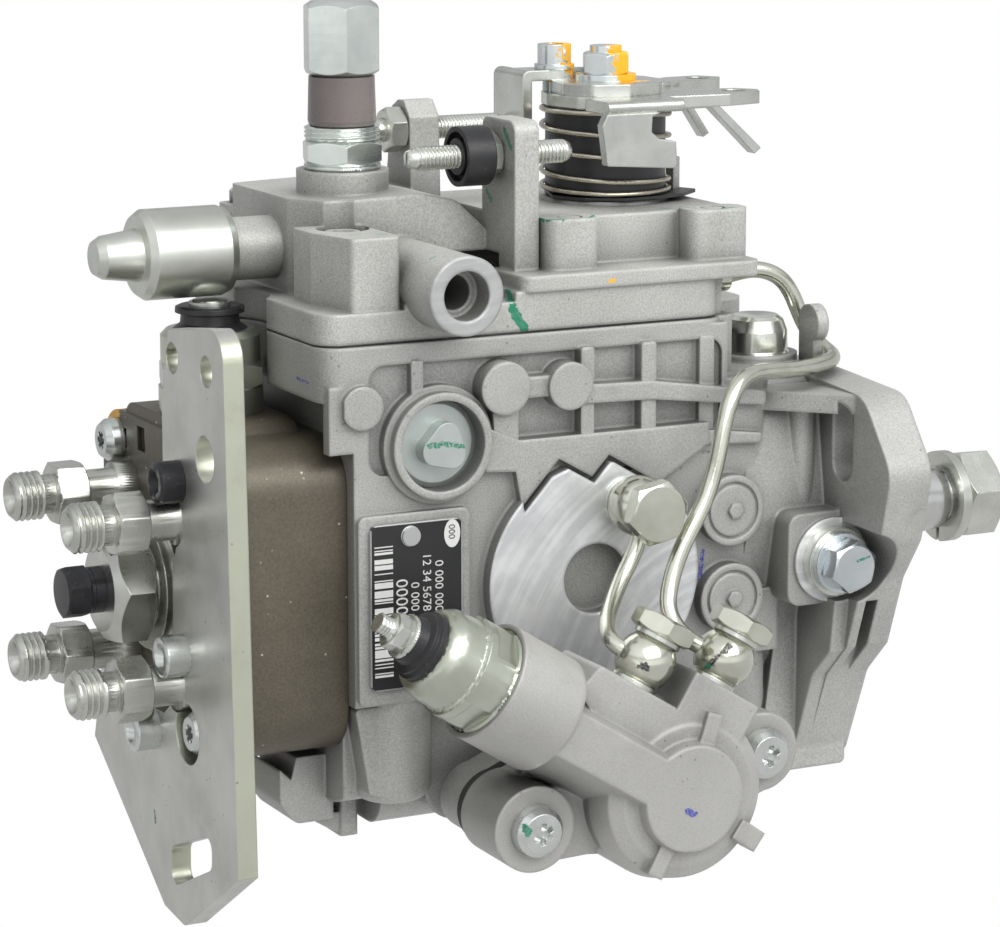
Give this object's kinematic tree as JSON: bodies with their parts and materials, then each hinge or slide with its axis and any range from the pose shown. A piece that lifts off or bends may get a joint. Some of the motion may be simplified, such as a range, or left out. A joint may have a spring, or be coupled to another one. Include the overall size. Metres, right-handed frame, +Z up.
{
  "type": "diesel injection pump",
  "caption": "Rotary distributor diesel injection pump: cast housing, taper drive shaft, mounting flange, threaded fuel outlets, control lever, solenoids and pipes.",
  "frame": {"origin": "shaft axis at the mounting flange face", "axes": "+X along the drive shaft out of the flange, +Z up, -Y towards the timing cover"},
  "size_m": [0.27, 0.1626, 0.2168],
  "materials": {
    "black_plastic": "moulded",
    "black_steel": "black oxide",
    "bright_steel": "machined",
    "cast_aluminium": "sand-cast, matt",
    "dark_head": "brown-grey phosphate",
    "label_black": "printed film",
    "sealing_rubber": "matt",
    "shrink_sleeve": "shrunk sleeve",
    "spacer_black": "matt",
    "spring_steel": "wire",
    "tamper_cap_steel": "drawn",
    "zinc_steel": "zinc plated"
  },
  "bodies": {
    "pump": {"pump_housing": "cast_aluminium", "governor_cover": "cast_aluminium", "cover_gasket": "sealing_rubber", "cover_screws": "zinc_steel", "distributor_head": "dark_head", "head_screws": "zinc_steel", "delivery_valve_holders": "bright_steel", "head_centre_plug": "bright_steel", "head_vent_screw": "black_steel", "rear_bracket": "zinc_steel", "bracket_screws": "zinc_steel", "stop_solenoid": "zinc_steel", "full_load_cap": "tamper_cap_steel", "top_union": "zinc_steel", "top_union_lock_nut": "zinc_steel", "top_union_sleeve": "shrink_sleeve", "top_union_cap_nut": "zinc_steel", "adjusting_screws": "zinc_steel", "adjusting_screw_nuts": "zinc_steel", "speed_stop_collar": "black_plastic", "timing_cover": "cast_aluminium", "timing_cover_spacer": "spacer_black", "timing_cover_screws": "zinc_steel", "timing_end_cover": "cast_aluminium", "cold_start_solenoid": "zinc_steel", "solenoid_insulators": "black_plastic", "solenoid_terminals": "zinc_steel", "short_pipe": "zinc_steel", "long_pipe": "zinc_steel", "banjo_bolts": "zinc_steel", "seal_washers": "zinc_steel", "side_plug": "zinc_steel", "valve_cap": "zinc_steel", "shaft_lock_bolt": "zinc_steel", "label_plate": "label_black", "lever_base_disc": "black_plastic", "lever_return_spring": "spring_steel", "shaft_seal": "sealing_rubber"},
    "drive_shaft": {"drive_shaft": "bright_steel", "shaft_nut": "zinc_steel", "shaft_spring_washer": "zinc_steel", "feed_pump_rotor": "bright_steel", "cam_plate_and_plunger": "bright_steel"},
    "control_lever": {"lever_shaft": "bright_steel", "lever_drum": "black_plastic", "control_lever": "zinc_steel", "lever_stop_plates": "zinc_steel", "lever_fasteners": "zinc_steel", "seal_clip": "zinc_steel"},
    "governor_cage": {"governor_cage": "bright_steel"},
    "flyweight_upper": {"flyweight_upper": "bright_steel"},
    "flyweight_lower": {"flyweight_lower": "bright_steel"},
    "governor_sleeve": {"governor_sleeve": "bright_steel"},
    "governor_lever": {"governor_lever": "bright_steel"},
    "control_spool": {"control_spool": "bright_steel"},
    "roller_ring": {"roller_ring": "bright_steel"},
    "timing_piston": {"timing_piston": "bright_steel"},
    "delivery_valves": {"delivery_valves": "bright_steel"},
    "stop_solenoid_plunger": {"stop_solenoid_plunger": "bright_steel"},
    "cold_start_plunger": {"cold_start_plunger": "bright_steel"}
  },
  "joints": [
    {"name": "drive_shaft_spin", "type": "hinge", "parent": "pump", "child": "drive_shaft", "pos_m": [0, 0, 0], "axis": [1, 0, 0], "continuous": true},
    {"name": "control_lever_turn", "type": "hinge", "parent": "pump", "child": "control_lever", "pos_m": [-0.051, 0, 0.111], "axis": [0, 0, -1], "range_deg": [0, 18.5], "stiffness_Nm_per_rad": 0.4, "springref_deg": -17.19},
    {"name": "governor_cage_spin", "type": "hinge", "parent": "pump", "child": "governor_cage", "pos_m": [-0.054, 0, 0.038], "axis": [1, 0, 0], "continuous": true},
    {"name": "flyweight_upper_swing", "type": "hinge", "parent": "governor_cage", "child": "flyweight_upper", "pos_m": [-0.064, 0, 0.0492], "axis": [0, 1, 0], "range_deg": [0, 20]},
    {"name": "flyweight_lower_swing", "type": "hinge", "parent": "governor_cage", "child": "flyweight_lower", "pos_m": [-0.064, 0, 0.0268], "axis": [0, -1, 0], "range_deg": [0, 20]},
    {"name": "governor_sleeve_slide", "type": "slide", "parent": "pump", "child": "governor_sleeve", "axis": [-1, 0, 0], "range_m": [0, 0.0023]},
    {"name": "governor_lever_swing", "type": "hinge", "parent": "pump", "child": "governor_lever", "pos_m": [-0.118, 0, 0.023], "axis": [0, -1, 0], "range_deg": [0, 8.8]},
    {"name": "control_spool_slide", "type": "slide", "parent": "pump", "child": "control_spool", "axis": [1, 0, 0], "range_m": [0, 0.00185]},
    {"name": "roller_ring_turn", "type": "hinge", "parent": "pump", "child": "roller_ring", "pos_m": [-0.0735, 0, 0], "axis": [1, 0, 0], "range_deg": [0, 6]},
    {"name": "timing_piston_slide", "type": "slide", "parent": "pump", "child": "timing_piston", "axis": [0, 1, 0], "range_m": [0, 0.0037]},
    {"name": "delivery_valve_lift", "type": "slide", "parent": "pump", "child": "delivery_valves", "axis": [-1, 0, 0], "range_m": [0, 0.002], "stiffness_N_per_m": 2000},
    {"name": "stop_plunger_lift", "type": "slide", "parent": "pump", "child": "stop_solenoid_plunger", "axis": [0, 0, 1], "range_m": [0, 0.002], "stiffness_N_per_m": 1000},
    {"name": "cold_start_plunger_slide", "type": "slide", "parent": "pump", "child": "cold_start_plunger", "axis": [-0.8462, 0, 0.5329], "range_m": [0, 0.002], "stiffness_N_per_m": 1000}
  ],
  "couplings": [
    {"joint": "governor_cage_spin", "follows": "drive_shaft_spin", "ratio": -1.527},
    {"joint": "flyweight_upper_swing", "follows": "governor_sleeve_slide", "rad_per_m": 151.62},
    {"joint": "flyweight_lower_swing", "follows": "governor_sleeve_slide", "rad_per_m": 151.62},
    {"joint": "governor_lever_swing", "follows": "governor_sleeve_slide", "rad_per_m": 66.6},
    {"joint": "control_spool_slide", "follows": "governor_sleeve_slide", "ratio": 0.8},
    {"joint": "roller_ring_turn", "follows": "timing_piston_slide", "rad_per_m": 28.17}
  ]
}
